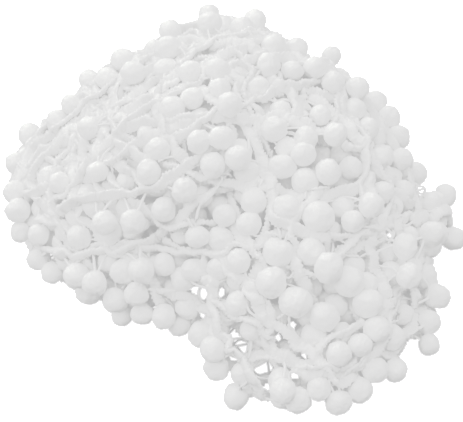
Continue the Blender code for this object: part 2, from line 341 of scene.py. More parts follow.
def wander(start, way, length, field, crowd, chance, goal=None):
    """A route about so long that turns smoothly to where the heap is emptiest, then to its goal."""
    route = [start, start + unit(way) * WANDER_STEP]
    left = length - WANDER_STEP
    while left > (0.0 if goal is None else np.linalg.norm(goal - route[-1])):
        heading = unit(route[-1] - route[-2])
        spreads = [WANDER_SPREAD, WANDER_SPREAD, 0.5 * WANDER_SPREAD]
        spread = chance.normal(size=(WANDER_CHOICES, 3)) * spreads
        choices = route[-1] + unit(heading + spread) * WANDER_STEP
        cost = crowd.at(choices) + TURN_COST * (1.0 - unit(choices - route[-1]) @ heading)
        cost += np.maximum(field_at(field, choices)[:, 0] + WANDER_DEPTH, 0.0) / MM
        cost += np.maximum(FLOOR_ROOM - choices[:, 2], 0.0) / FLOOR_FADE
        route.append(choices[cost.argmin()])
        crowd.add(route[-1][None])
        left -= WANDER_STEP
    if goal is not None:
        last = route[-1]
        steps = max(2, round(np.linalg.norm(goal - last) / WANDER_STEP))
        route += [last + (goal - last) * k / steps for k in range(1, steps + 1)]
    return np.array(route)


def curve_through(points, per_span):
    """A smooth curve through points."""
    ends = np.vstack([2.0 * points[0] - points[1], points, 2.0 * points[-1] - points[-2]])
    a, b, c, d = ends[:-3, None], ends[1:-2, None], ends[2:-1, None], ends[3:, None]
    t = (np.arange(per_span) / per_span)[None, :, None]
    bend = (2.0 * a - 5.0 * b + 4.0 * c - d) * t**2 + (3.0 * b - a - 3.0 * c + d) * t**3
    curve = 0.5 * (2.0 * b + (c - a) * t + bend)
    return np.vstack([curve.reshape(-1, points.shape[1]), points[-1]])


def cut_evenly(curve, count):
    """So many points at equal steps along a curve, both ends among them."""
    along = np.concatenate([[0.0], np.cumsum(lengths(np.diff(curve, axis=0)))])
    wanted = np.linspace(0.0, along[-1], count)
    return np.stack([np.interp(wanted, along, curve[:, k]) for k in range(3)], axis=1)


def steps_along(route):
    curve = curve_through(route, 8)
    length = lengths(np.diff(curve, axis=0)).sum()
    return curve, int(length / NODE_STEP)


def runs_of(turns, field, chance):
    """The chain's runs in order: the loose turns, with a wandering run before and after each."""
    loose_length = sum(len(turn.line) - 1 for turn in turns) * NODE_STEP
    free_length = (TRIM_LENGTH - loose_length) / (len(turns) + 1)
    crowd = Crowd(field)
    for turn in turns:
        crowd.add(turn.line[::3])
    start = turns[0].line
    curve, count = steps_along(wander(start[0], start[0] - start[1], free_length, field, crowd, chance))
    runs = [Run("wound_00", cut_evenly(curve, count)[:0:-1], None)]
    phase = (len(runs[0].line) + turns[0].at[0]) % NODES_PER_BALL
    for k, turn in enumerate(turns):
        if k:
            total = sum(len(run.line) for run in runs)
            before = turns[k - 1].line
            goal = turn.line[0] + GOAL_STEPS * (turn.line[0] - turn.line[1])
            route = wander(before[-1], before[-1] - before[-2], free_length, field, crowd, chance, goal)
            curve, count = steps_along(np.vstack([route, turn.line[0]]))
            count += -(total + count + turn.at[0] - phase) % NODES_PER_BALL
            runs.append(Run(f"wound_{k:02d}", cut_evenly(curve, count + 2)[1:-1], None))
        runs.append(Run(turn.name, turn.line, turn))
    end = turns[-1].line
    curve, count = steps_along(wander(end[-1], end[-1] - end[-2], free_length, field, crowd, chance))
    runs.append(Run(f"wound_{len(turns):02d}", cut_evenly(curve, count)[1:], None))
    return runs, phase


def homes_of(runs, stretches, ball_node):
    """Where the model has each pompom of its loose turns, and no number for the other pompoms."""
    homes = np.full((len(ball_node), 3), np.nan)
    for stretch, run in zip(stretches, runs):
        if stretch.loose:
            for centre, at in zip(run.turn.balls, run.turn.at):
                homes[np.abs(ball_node - stretch.first - at).argmin()] = centre
    return homes


def lay_chain(turns, field, chance):
    """The whole trim as one chain of nodes, with its pompoms where they hang before settling."""
    runs, phase = runs_of(turns, field, chance)
    ends = np.cumsum([len(run.line) for run in runs])
    stretches = [
        Stretch(run.name, run.turn is not None, end - len(run.line), end - 1)
        for run, end in zip(runs, ends.tolist())
    ]
    nodes = np.vstack([run.line for run in runs])
    fixed = np.concatenate([np.full(len(run.line), run.turn is not None) for run in runs])
    wide = np.vstack([run.turn.wide if run.turn else np.zeros_like(run.line) for run in runs])
    out = np.vstack([run.turn.out if run.turn else np.zeros_like(run.line) for run in runs])
    ball_node = np.arange(phase, len(nodes), NODES_PER_BALL)
    homes = homes_of(runs, stretches, ball_node)
    way = np.gradient(nodes, axis=0)[ball_node]
    lean = chance.normal(size=(len(ball_node), 3)) + field_at(field, nodes[ball_node])[:, 1:] * LEAN_OUT
    lean = unit(lean)
    lean = unit(lean - unit(way) * (lean * unit(way)).sum(axis=1, keepdims=True))
    balls = np.where(np.isnan(homes), nodes[ball_node] + lean * HANG, homes)
    radius = BALL_SHRINK + BALL_SIZE_SPREAD * np.clip(chance.normal(size=len(ball_node)), -2.0, 2.0)
    radius = BALL_RADIUS * np.where(np.isnan(homes[:, 0]), radius, 1.0)
    return Chain(nodes, fixed, wide, out, ball_node, balls, homes, radius, stretches)


# ---- what the photograph places

# Places in the photograph, in its 463 x 422 pixels, read off one by one but for the gaps. The outline goes
# once round the heap, from pompom to pompom. The strands are pieces of braid that lie foremost beside
# the model's own turns. The gaps show the floor: their places began as a script's list of the photograph's
# white regions, and half of them were then moved or added by eye. In the mats the braid lies over the
# pompoms. The plump pompoms are larger than the rest.
At = namedtuple("At", "across down")
PHOTO_ACROSS = 463
PHOTO_DOWN = 422
OUTLINE = (
    At(93, 78), At(123, 60), At(153, 51), At(171, 32), At(209, 14), At(254, 22),
    At(295, 49), At(315, 68), At(332, 55), At(355, 90), At(376, 104), At(388, 118),
    At(398, 136), At(401, 160), At(417, 174), At(408, 193), At(430, 200), At(447, 200),
    At(447, 216), At(452, 239), At(429, 245), At(428, 276), At(438, 298), At(425, 320),
    At(425, 342), At(398, 346), At(392, 369), At(370, 370), At(360, 388), At(341, 401),
    At(316, 388), At(294, 397), At(280, 389), At(248, 393), At(247, 364), At(218, 353),
    At(204, 332), At(182, 320), At(163, 312), At(143, 312), At(121, 320), At(117, 303),
    At(87, 290), At(53, 272), At(38, 259), At(21, 230), At(19, 213), At(15, 193),
    At(17, 164), At(28, 135), At(56, 123), At(71, 106),
)  # fmt: skip
FRONT_POMPOMS = (
    At(79, 268), At(137, 293), At(123, 271), At(165, 265), At(40, 240), At(60, 183),
    At(97, 173), At(138, 222), At(163, 212), At(90, 132), At(90, 205), At(110, 235),
    At(80, 237), At(150, 177), At(133, 80), At(192, 304), At(225, 28), At(276, 48),
    At(178, 53), At(170, 68), At(191, 72), At(219, 70), At(270, 64), At(293, 74),
    At(221, 90), At(253, 86), At(195, 96), At(170, 108), At(269, 128), At(225, 142),
    At(159, 150), At(193, 152), At(285, 164), At(302, 154), At(247, 174), At(212, 164),
    At(326, 172), At(306, 182), At(320, 116), At(335, 83), At(353, 108), At(335, 137),
    At(368, 128), At(382, 157), At(381, 187), At(352, 168), At(254, 200), At(249, 221),
    At(226, 214), At(286, 208), At(314, 220), At(353, 222), At(199, 244), At(218, 244),
    At(238, 261), At(195, 271), At(216, 268), At(281, 254), At(310, 250), At(328, 266),
    At(344, 278), At(272, 284), At(292, 302), At(233, 302), At(248, 333), At(321, 316),
    At(370, 306), At(388, 250), At(392, 274), At(362, 348), At(378, 328), At(338, 354),
    At(277, 376), At(187, 193),
)  # fmt: skip
STRANDS = (
    (At(66, 138), At(88, 148), At(108, 158), At(126, 168), At(140, 180)),
    (At(58, 118), At(76, 104), At(96, 96), At(116, 92), At(134, 84)),
    (At(138, 141), At(165, 129), At(188, 123), At(212, 118), At(232, 116)),
    (At(46, 120), At(42, 138), At(46, 156), At(58, 166), At(72, 160)),
    (At(30, 178), At(38, 200), At(50, 214), At(62, 217)),
    (At(154, 238), At(174, 224), At(190, 208), At(205, 186)),
    (At(269, 184), At(275, 205), At(266, 226), At(259, 246), At(254, 270), At(251, 288)),
    (At(377, 214), At(392, 220), At(408, 218), At(424, 214)),
    (At(416, 314), At(409, 335), At(394, 349), At(378, 353)),
    (At(279, 86), At(294, 92), At(298, 110), At(289, 126), At(274, 122)),
    (At(312, 91), At(328, 98), At(346, 96), At(362, 92)),
    (At(174, 44), At(190, 34), At(204, 40), At(196, 56), At(180, 66)),
    (At(110, 118), At(130, 112), At(150, 96), At(170, 92), At(186, 84)),
    (At(84, 116), At(98, 124), At(104, 138), At(122, 144)),
    (At(236, 128), At(226, 146), At(208, 156), At(196, 152)),
    (At(330, 128), At(340, 146), At(356, 150), At(372, 140)),
    (At(205, 282), At(207, 300), At(210, 318)),
    (At(156, 282), At(158, 300), At(164, 312)),
    (At(226, 48), At(240, 44), At(254, 38), At(264, 32)),
    (At(286, 264), At(297, 268), At(308, 274), At(316, 280)),
)  # fmt: skip
Spot = namedtuple("Spot", "across down radius")
GAPS = (
    Spot(264, 369, 2.3), Spot(267, 385, 0.8), Spot(241, 347, 1.9), Spot(233, 358, 0.8), Spot(220, 293, 1.4),
    Spot(205, 294, 1.0), Spot(411, 343, 1.0), Spot(293, 376, 0.9), Spot(304, 357, 0.7),
    Spot(421, 190, 0.8), Spot(233, 331, 0.8), Spot(293, 325, 0.8), Spot(279, 338, 0.6),
    Spot(203, 316, 0.7), Spot(389, 236, 0.8), Spot(195, 290, 0.8),
)  # fmt: skip
MATS = (
    Spot(108, 132, 27.0), Spot(168, 80, 13.0), Spot(280, 108, 12.0), Spot(203, 176, 12.0),
    Spot(75, 172, 14.0),
)  # fmt: skip
PLUMP = (Spot(312, 282, 26.0),)
PLUMP_SIZE = 1.2
SIGHT_NEAR = 400.0 * MM
SIGHT_FAR = 700.0 * MM
SIGHT_STEP = 2.0 * MM
SIGHT_PROUD = 4.0 * MM
REST_SLACK = 1.5 * MM
STRAND_PROUD = 2.0 * MM
GAP_STEP = 4.0 * MM
GAP_DETAIL = 6.0 * MM
FOCAL = CAMERA_LENS_MM / SENSOR_MM * PHOTO_ACROSS


def camera_axes():
    """The camera's place, and its right, up and back directions as rows."""
    camera = bpy.context.scene.camera
    return np.array(camera.location), np.array(camera.rotation_euler.to_matrix()).T


def sight_line(seen):
    """Points along the line of sight through a place in the photograph."""
    eye, axes = camera_axes()
    across, down = seen[0] - 0.5 * PHOTO_ACROSS, seen[1] - 0.5 * PHOTO_DOWN
    reach = np.arange(SIGHT_NEAR, SIGHT_FAR, SIGHT_STEP)
    return eye + reach[:, None] * unit(np.array([across, -down, -FOCAL]) @ axes)


def place_of(seen, field, proud, lowest):
    """Where a thing seen there lies: on the heap, or beside it where the line of sight passes it."""
    line = sight_line(seen)
    line = line[line[:, 2] > lowest]
    depth = field_at(field, line)[:, 0]
    inside = np.flatnonzero(depth < proud)
    beside = np.flatnonzero(depth < depth.min() + REST_SLACK)
    return line[inside[0] if len(inside) else beside[-1]]


def gap_points(field):
    """Points down each gap, from above the heap to the floor, and the gap's radius at each."""
    found, radius = [], []
    for gap in GAPS:
        line = sight_line(gap)[:: int(GAP_STEP / SIGHT_STEP)]
        line = line[(line[:, 2] > 0.0) & (field_at(field, line)[:, 0] < 3.0 * SIGHT_PROUD)]
        found.append(line)
        radius.append(np.full(len(line), gap.radius * MM))
    return np.vstack(found), np.concatenate(radius)


def off_sight(points, seen):
    """Each point's offset, square to it, from the line of sight through a place in the photograph."""
    line = sight_line(seen)
    way = unit(line[-1] - line[0])
    offset = points - line[0]
    return offset - (offset @ way)[:, None] * way


def seen_near(points, spots, beyond=0.0):
    """True for the points that the camera sees within a spot, or so far beyond its edge."""
    away = [lengths(off_sight(points, spot)) - spot.radius * MM for spot in spots]
    return np.min(away, axis=0) < beyond


def clear_of_gaps(points, room=0.0):
    """Draws what would still cross a gap aside, so that the floor shows through it."""
    for gap in GAPS:
        offset = off_sight(points, gap)
        away = np.maximum(lengths(offset), 0.01 * MM)
        wanted = (away**4 + (gap.radius * MM + room) ** 4) ** 0.25
        points = points + offset * (wanted / away - 1.0)[:, None]
    return points


def led_round_gaps(line, room):
    """Leads a thread round each gap, on the side where it passes, so that the floor shows there."""
    for gap in GAPS:
        reach = gap.radius * MM + room
        offset = off_sight(line, gap)
        away = lengths(offset)
        nearest = away.argmin()
        way = unit(np.gradient(offset, axis=0)[nearest])
        side = unit(offset[nearest] - way * (offset[nearest] @ way))
        beside = offset @ side
        past = lengths(offset - beside[:, None] * side)
        wanted = np.sqrt(np.maximum(reach**2 - past**2, 0.0))
        line = line + side * np.where(away < reach, wanted - beside, 0.0)[:, None]
    return line


def strand_lines(field):
    """The strands' lines on the heap, one point for each node of the chain."""
    lines = []
    for strand in STRANDS:
        marks = curve_through(np.array(strand, float), 4)
        line = np.array([place_of(mark, field, STRAND_PROUD, BRAID_THICKNESS) for mark in marks])
        line = blurred(line, 3)
        length = lengths(np.diff(line, axis=0)).sum()
        lines.append(cut_evenly(line, max(4, int(length / NODE_STEP) + 1)))
    return lines


def outline_shift(points, inset):
    """The shift, square to the view, that brings each point inside the outline by its inset."""
    eye, axes = camera_axes()
    across, up, back = ((points - eye) @ axes.T).T
    scale = FOCAL / -back
    at = np.stack([across * scale + 0.5 * PHOTO_ACROSS, 0.5 * PHOTO_DOWN - up * scale], axis=1)
    start = np.array(OUTLINE, float)
    side = np.roll(start, -1, axis=0) - start
    offset = at[:, None] - start[None]
    share = np.clip((offset * side).sum(axis=2) / (side**2).sum(axis=1), 0.0, 1.0)
    away = offset - share[..., None] * side
    nearest = lengths(away).argmin(axis=1)
    away = away[np.arange(len(at)), nearest]
    level = (offset[..., 1] >= 0.0) != (np.roll(offset[..., 1], -1, axis=1) >= 0.0)
    crossing = side[:, 0] * offset[..., 1] / np.where(side[:, 1] == 0.0, 1.0, side[:, 1])
    outside = (level & (offset[..., 0] < crossing)).sum(axis=1) % 2 == 0
    distance = lengths(away) * np.where(outside, 1.0, -1.0)
    excess = np.maximum(distance + inset * scale, 0.0)
    inward = -unit(away) * np.where(outside, 1.0, -1.0)[:, None] * excess[:, None] / scale[:, None]
    return inward[:, :1] * axes[0] - inward[:, 1:] * axes[1]


# ---- settling

# A limit is how far outside the heap's form a thing may lie. A drift is how far it moves outward in
# each round, and a sink how far down.
ROUNDS = 1400
CONTACT_ROUNDS = 8
STRAND_SHARE = 0.1
MATCH_SHARE = 0.25
STRAND_ROOM = 6
SKIN = 1.5 * MM
BRAID_APART = 3.0 * MM
BRAID_ROOM = 2.0 * MM
SQUEEZE = 0.3 * MM
BALL_LIMIT = 0.0 * MM
BRAID_LIMIT = 3.5 * MM
SEEN_LIMIT = 14.0 * MM
BALL_INSET = 3.5 * MM
SEEN_INSET = 1.5 * MM
CHAIN_LINKS = ((1, 1.0, 1.0), (2, 1.75, 2.0), (4, 2.6, 4.0))
TETHER = (8.5 * MM, 13.2 * MM)
SIDE_TETHER = (8.5 * MM, 15.6 * MM)
CHAINED = 4
BALL_SINK = 0.03 * MM
BRAID_SINK = 0.01 * MM
BALL_DRIFT = 0.02 * MM
BRAID_DRIFT = -0.02 * MM
TOP_DRIFT = 0.08 * MM
TOP_SHARE = 0.7
TOP_WAVES = ((0.11, 1.0), (0.17, 1.0), (0.26, 1.0))
MAT_BALL_LIMIT = -2.0 * MM
MAT_BRAID_LIMIT = 2.5 * MM
DRIFT_DEPTH = 14.0 * MM
PULL = 0.2
MOST_PULL = 0.8 * MM
SEEN_WEIGHT = 0.1
GUARD_WEIGHT = 1e-6
NODE_PLAY = 3.0 * MM
BALL_PLAY = 8.0 * MM
BALL_REACH = 7.0 * MM
RELAX = 1.4
CLEAR_ABOVE = 5.5 * MM
CLEAR_ROOM = 3.0 * MM
GAP_ROOM = 1.4 * MM
BRAID_FLOOR = 0.8 * MM
HALF_CELLS = [c for c in np.ndindex(3, 3, 3) if c >= (1, 1, 1)]
Pile = namedtuple("Pile", "home room weight play is_ball free limit inset floor drift sink")


def near_pairs(points, reach):
    """Index pairs of points that are closer than the reach, each once."""
    cells = np.floor((points - points.min(axis=0)) / reach).astype(np.int64) + 1
    size = cells.max(axis=0) + 2
    keys = (cells[:, 0] * size[1] + cells[:, 1]) * size[2] + cells[:, 2]
    order = keys.argsort(kind="stable")
    found = []
    for cell in HALF_CELLS:
        x, y, z = (k - 1 for k in cell)
        wanted = keys + (x * size[1] + y) * size[2] + z
        first = np.searchsorted(keys[order], wanted, "left")
        counts = np.searchsorted(keys[order], wanted, "right") - first
        i = np.repeat(np.arange(len(points)), counts)
        ramp = np.arange(counts.sum()) - np.repeat(np.cumsum(counts) - counts, counts)
        j = order[np.repeat(first, counts) + ramp]
        close = lengths(points[i] - points[j]) < reach
        if (x, y, z) == (0, 0, 0):
            close &= i < j
        found.append(np.stack([i[close], j[close]]))
    return np.concatenate(found, axis=1)


def links_of(chain):
    """Rows (i, j, least, most) that draw the chain to its lengths and its pompoms to it."""
    count = len(chain.nodes)
    rows = []
    for apart, least, most in CHAIN_LINKS:
        i = np.arange(count - apart)
        rows.append(np.stack([i, i + apart, i * 0 + least * NODE_STEP, i * 0 + most * NODE_STEP]))
    ball = count + np.arange(len(chain.balls))
    for apart, (least, most) in ((0, TETHER), (-2, SIDE_TETHER), (2, SIDE_TETHER)):
        i = np.clip(chain.ball_node + apart, 0, count - 1)
        rows.append(np.stack([i, ball, i * 0 + least, i * 0 + most]))
    return np.concatenate(rows, axis=1)


def contacts_of(points, room, is_ball, node_count):
    """Rows (i, j, least, most) that push what lies too close together apart."""
    i, j = near_pairs(points, 2.0 * room.max() + SKIN)
    chained = (j < node_count) & (i < node_count) & (np.abs(i - j) < CHAINED)
    least = room[i] + room[j] + np.where(is_ball[i] != is_ball[j], BRAID_ROOM - 0.5 * BRAID_APART, 0.0)
    close = (lengths(points[i] - points[j]) < least + SKIN) & ~chained
    i, j, least = i[close], j[close], least[close]
    return np.stack([i, j, least, np.full(len(i), np.inf)])


def correction(points, weight, rows):
    """How far the rows move each point, averaged over the rows that are not yet met."""
    i, j = rows[:2].astype(int)
    way = points[j] - points[i]
    apart = np.maximum(lengths(way), 1e-6)
    error = np.clip(apart, rows[2], rows[3]) - apart
    push = way * (error / apart)[:, None]
    share = (weight[i] / (weight[i] + weight[j]))[:, None]
    both = np.concatenate([i, j])
    pulls = np.concatenate([-push * share, push * (1.0 - share)])
    hits = np.bincount(both, np.tile(np.abs(error) > 1e-6, 2), len(points))
    move = np.stack([np.bincount(both, pulls[:, k], len(points)) for k in range(3)], axis=1)
    return RELAX * move / np.maximum(hits, 1.0)[:, None]


def top_share(chain, chance):
    """True at the nodes of the stretches that are drawn to the top of the heap."""
    wave = waves(np.arange(len(chain.nodes)) * NODE_STEP, TOP_WAVES, chance)
    return wave > np.quantile(wave, 1.0 - TOP_SHARE)


def match_strands(nodes, taken, lines):
    """The run of untaken nodes that lies nearest to each line: its indices and their places."""
    found, places = [], []
    for line in lines:
        window = np.arange(len(nodes) - len(line) + 1)[:, None] + np.arange(len(line))
        blocked = taken[window].any(axis=1)
        cost = [((nodes[window] - way) ** 2).sum(axis=(1, 2)) for way in (line, line[::-1])]
        cost = np.where(blocked, np.inf, cost)
        turned, start = np.unravel_index(cost.argmin(), cost.shape)
        found.append(window[start])
        places.append(line[::-1] if turned else line)
        taken[max(start - STRAND_ROOM, 0) : start + len(line) + STRAND_ROOM] = True
    return np.concatenate(found), np.vstack(places)


def match_pompoms(balls, reach, field):
    """The pompom that lies nearest to each one that the photograph places, if that is in its reach."""
    places = [place_of(seen, field, SIGHT_PROUD, BALL_RADIUS) for seen in (*OUTLINE, *FRONT_POMPOMS)]
    found = []
    for place in places:
        away = lengths(balls - place)
        nearest = np.where(away > reach, np.inf, away).argmin()
        reach[nearest] = 0.0
        found.append(nearest)
    return np.array(found), np.array(places)


def pile_of(chain, field, chance):
    """All points that settle, nodes, then pompoms, then fixed guards, with how each may move."""
    node_count = len(chain.nodes)
    gaps, gap_radius = gap_points(field)
    guards = np.vstack([chain.nodes[chain.fixed] + chain.out[chain.fixed] * CLEAR_ABOVE, gaps])
    home = np.vstack([chain.nodes, chain.balls, guards])
    guard_room = np.full(len(guards), CLEAR_ROOM)
    guard_room[-len(gaps) :] = gap_radius + GAP_ROOM
    room = np.concatenate([
        np.full(node_count, 0.5 * BRAID_APART), chain.radius - 0.5 * SQUEEZE, guard_room
    ])
    modelled = np.concatenate([chain.fixed, ~np.isnan(chain.homes[:, 0])])
    play = np.where(modelled, np.where(np.arange(len(modelled)) < node_count, NODE_PLAY, BALL_PLAY), np.inf)
    play = np.concatenate([play, np.zeros(len(guards))])
    weight = np.concatenate([np.where(modelled, SEEN_WEIGHT, 1.0), np.full(len(guards), GUARD_WEIGHT)])
    is_ball = np.zeros(len(home), bool)
    is_ball[node_count : node_count + len(chain.balls)] = True
    top = np.zeros(len(home), bool)
    top[:node_count] = top_share(chain, chance)
    free = play == np.inf
    limit = np.where(is_ball, BALL_LIMIT, np.where(top, BRAID_LIMIT, 0.0))
    limit[~free] = SEEN_LIMIT
    inset = np.where(is_ball, BALL_INSET, 0.0)
    floor = np.where(is_ball, room, BRAID_FLOOR)
    drift = np.where(is_ball, BALL_DRIFT, np.where(top, TOP_DRIFT, BRAID_DRIFT)) * free
    sink = np.where(is_ball, BALL_SINK, np.where(top, 0.0, BRAID_SINK)) * free
    return Pile(home, room, weight, play, is_ball, free, limit, inset, floor, drift, sink)


def place_seen(pile, seen):
    """Lets the points that the photograph places leave the heap, and stops them drifting."""
    pile.free[seen] = False
    pile.limit[seen] = SEEN_LIMIT
    pile.inset[seen] = -SEEN_INSET
    pile.weight[seen] = SEEN_WEIGHT
    pile.drift[seen] = pile.sink[seen] = 0.0


def held_in_heap(points, pile, field, matted, ease):
    """The points after a round's drift: half way back to their limits, and kept off the floor."""
    away = field_at(field, points)
    depth, outward = away[:, 0], unit(away[:, 1:])
    most = np.where(matted, np.where(pile.is_ball, MAT_BALL_LIMIT, MAT_BRAID_LIMIT), pile.limit)
    push = np.where(matted & ~pile.is_ball, TOP_DRIFT, pile.drift)
    shift = ease * push * (depth > -DRIFT_DEPTH) - 0.5 * np.maximum(depth - most, 0.0)
    points += outward * shift[:, None]
    points[:, 2] = np.maximum(points[:, 2] - ease * pile.sink, pile.floor)
    return points


def settle(chain, field, chance):
    """The chain's nodes and pompoms after the rounds that ease them apart and into the heap.
    Drifts and pulls fade over the last third of the rounds."""
    node_count = len(chain.nodes)
    pile = pile_of(chain, field, chance)
    still = ~pile.free
    points = pile.home.copy()
    links = links_of(chain)
    rounds = ROUNDS
    seen, places = np.array([], int), np.empty((0, 3))
    for count in range(rounds):
        ease = min(1.0, 3.0 * (1.0 - count / rounds))
        if count == int(STRAND_SHARE * rounds):
            lines = strand_lines(field)
            seen, places = match_strands(points[:node_count], still[:node_count].copy(), lines)
        if count == int(MATCH_SHARE * rounds):
            reach = np.where(still[pile.is_ball], BALL_REACH, np.inf)
            found, there = match_pompoms(points[pile.is_ball], reach, field)
            seen, places = np.concatenate([seen, found + node_count]), np.vstack([places, there])
            plump = found[seen_near(there, PLUMP)]
            chain.radius[plump] *= PLUMP_SIZE
            pile.room[node_count + plump] *= PLUMP_SIZE
        place_seen(pile, seen)
        if count % CONTACT_ROUNDS == 0:
            contacts = contacts_of(points, pile.room, pile.is_ball, node_count)
            rows = np.concatenate([links, contacts], axis=1)
            points += outline_shift(points, pile.inset)
            matted = seen_near(points, MATS) & pile.free
        points += correction(points, pile.weight, rows)
        points = held_in_heap(points, pile, field, matted, ease)
        points[seen] += shortened((places - points[seen]) * PULL * ease, MOST_PULL)
        points = pile.home + shortened(points - pile.home, pile.play)
    return points[:node_count], points[pile.is_ball]


def shortened(moves, most):
    """The moves, each no longer than the most."""
    length = np.maximum(lengths(moves), 1e-9)
    return moves * np.minimum(1.0, most / length)[:, None]


# ---- finishes

TUFT_SIZE = 0.9 * MM
TUFT_HEIGHT = 0.5 * MM
UNEVEN_SIZE = 6.0 * MM


def noise_of(tree, coordinate, scale, detail):
    noise = tree.nodes.new("ShaderNodeTexNoise")
    give(noise, {"Scale": scale, "Detail": detail})
    tree.links.new(coordinate, noise.inputs["Vector"])
    return noise.outputs["Fac"]


def ranged(tree, value, low, high, low_at=0.3, high_at=0.7):
    spread = tree.nodes.new("ShaderNodeMapRange")
    give(spread, {"From Min": low_at, "From Max": high_at, "To Min": low, "To Max": high})
    tree.links.new(value, spread.inputs["Value"])
    return spread.outputs["Result"]


def bumped(tree, height, strength, distance, below=None):
    bump = tree.nodes.new("ShaderNodeBump")
    give(bump, {"Strength": strength, "Distance": distance})
    tree.links.new(height, bump.inputs["Height"])
    if below is not None:
        tree.links.new(below, bump.inputs["Normal"])
    return bump.outputs["Normal"]


def tinted(tree, amount, low, high):
    """A colour between two greys, by the amount."""
    mix = tree.nodes.new("ShaderNodeMix")
    mix.data_type = "RGBA"
    give(mix, {"A": (*low, 1.0), "B": (*high, 1.0)})
    tree.links.new(amount, mix.inputs["Factor"])
    return mix.outputs["Result"]


def yarn(name, low, high, fibre, strength, sheen):
    """Off-white brushed yarn: a fine nap over soft unevenness, and a dry, slightly sheeny surface. Its
    colour carries painted shade, darker in the pits between its tufts.
    """
    made = bpy.data.materials.new(name)
    made.use_nodes = True
    tree = made.node_tree
    shader = tree.nodes["Principled BSDF"]
    place = tree.nodes.new("ShaderNodeTexCoord").outputs["Object"]
    nap = noise_of(tree, place, 1.0 / fibre, 4.0)
    tuft_and_shade = noise_of(tree, place, 1.0 / TUFT_SIZE, 3.0)
    uneven = noise_of(tree, place, 1.0 / UNEVEN_SIZE, 2.0)
    give(shader, {"Sheen Weight": sheen, "Sheen Roughness": 0.6, "Specular IOR Level": 0.15})
    # Painted shade: the noise that raises the tufts' bump also darkens the colour toward the lower grey in
    # the pits between them.
    tree.links.new(tinted(tree, ranged(tree, tuft_and_shade, 0.0, 1.0), low, high), shader.inputs["Base Color"])
    tree.links.new(ranged(tree, uneven, 0.86, 1.0), shader.inputs["Roughness"])
    tufted = bumped(tree, tuft_and_shade, 0.7 * strength, TUFT_HEIGHT)
    tree.links.new(bumped(tree, nap, strength, 0.4 * fibre, tufted), shader.inputs["Normal"])
    return made


# ---- meshes


def add_piece(name, parts, finish, replaced):
    """One piece from (points, triangles) parts, riding on the model's only body."""
    points = laid_on_floor(clear_of_gaps(np.concatenate([part[0] for part in parts])))
    starts = np.cumsum([0] + [len(part[0]) for part in parts[:-1]])
    faces = np.concatenate([part[1] + start for part, start in zip(parts, starts)])
    data = bpy.data.meshes.new(name)
    data.vertices.add(len(points))
    data.vertices.foreach_set("co", points.astype(np.float32).ravel())
    data.loops.add(faces.size)
    data.loops.foreach_set("vertex_index", faces.astype(np.int32).ravel())
    data.polygons.add(len(faces))
    data.polygons.foreach_set("loop_start", np.arange(0, faces.size, 3, dtype=np.int32))
    data.update(calc_edges=True)
    data.shade_smooth()
    data.materials.append(finish)
    piece = put(name, data)
    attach(piece, "root")
    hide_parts(replaced)


def tube_faces(rings, sides):
    """Triangles of a closed tube of rings of points, with a fan over each end."""
    ring = np.arange(rings - 1)[:, None] * sides
    side = np.arange(sides)[None]
    after = (side + 1) % sides
    a, b, c, d = ring + side, ring + after, ring + sides + after, ring + sides + side
    walls = np.stack([np.stack([a, b, c], -1), np.stack([a, c, d], -1)]).reshape(-1, 3)
    fan = np.arange(1, sides - 1)
    first = np.stack([fan * 0, fan + 1, fan], -1)
    last = np.stack([fan * 0, fan, fan + 1], -1) + (rings - 1) * sides
    return np.concatenate([walls, first, last])


def frames_of(line, wide):
    """Along, across and out of a line, at right angles, from its rough width directions."""
    along = unit(np.gradient(line, axis=0))
    across = unit(wide - along * (wide * along).sum(axis=1, keepdims=True))
    return along, across, np.cross(across, along)


Tape = namedtuple("Tape", "line along across out width depth")
FINE = 6
TWIST_WAVES = ((19.0 * MM, 16.0), (31.0 * MM, 26.0), (53.0 * MM, 32.0))
CRUMPLE_WAVES = ((7.0 * MM, 0.12 * MM), (11.0 * MM, 0.22 * MM), (17.0 * MM, 0.35 * MM))
SIDEWAYS = 0.35
MODEL_TWIST = 0.4
WIDTH_WAVES = ((5.0 * MM, 0.07), (9.0 * MM, 0.08), (23.0 * MM, 0.1))


def waves(place, kinds, chance):
    """A smooth uneven signal along the trim: the sum of cosines of (length, height)."""
    return sum(h * np.cos(math.tau * (place / w + chance.uniform())) for w, h in kinds)


def turned(vectors, axes, angle):
    """Vectors turned about axes square to them."""
    return vectors * np.cos(angle)[:, None] + np.cross(axes, vectors) * np.sin(angle)[:, None]


def tape_of(chain, nodes, balls, field, chance):
    """The braid's middle line and directions at fine steps, with its twists and crumples."""
    lean = balls - nodes[chain.ball_node]
    there = np.arange(len(nodes))
    wide = np.stack([np.interp(there, chain.ball_node, lean[:, k]) for k in range(3)], axis=1)
    wide = np.where(chain.fixed[:, None], chain.wide, unit(blurred(wide, 4)))
    along, wide, out = frames_of(nodes, wide)
    twist = np.radians(waves(there * NODE_STEP, TWIST_WAVES, chance))
    twist = twist * np.where(chain.fixed, MODEL_TWIST, 1.0)
    wide = blurred(turned(wide, along, blurred(twist, 2)), 1)
    fine = curve_through(np.hstack([nodes, wide]), FINE)
    along, across, out = frames_of(fine[:, :3], fine[:, 3:])
    place = np.arange(len(fine)) * NODE_STEP / FINE
    line = fine[:, :3] + out * waves(place, CRUMPLE_WAVES, chance)[:, None]
    line += across * SIDEWAYS * waves(place, CRUMPLE_WAVES, chance)[:, None]
    line = clear_of_gaps(line, 0.5 * BRAID_WIDTH)
    along, across, out = frames_of(line, across)
    depth = np.where(seen_near(line, GAPS, GAP_DETAIL), 0.0, field_at(field, line)[:, 0])
    width = BRAID_WIDTH * (1.0 + waves(place, WIDTH_WAVES, chance))
    return Tape(line, along, across, out, width, depth)


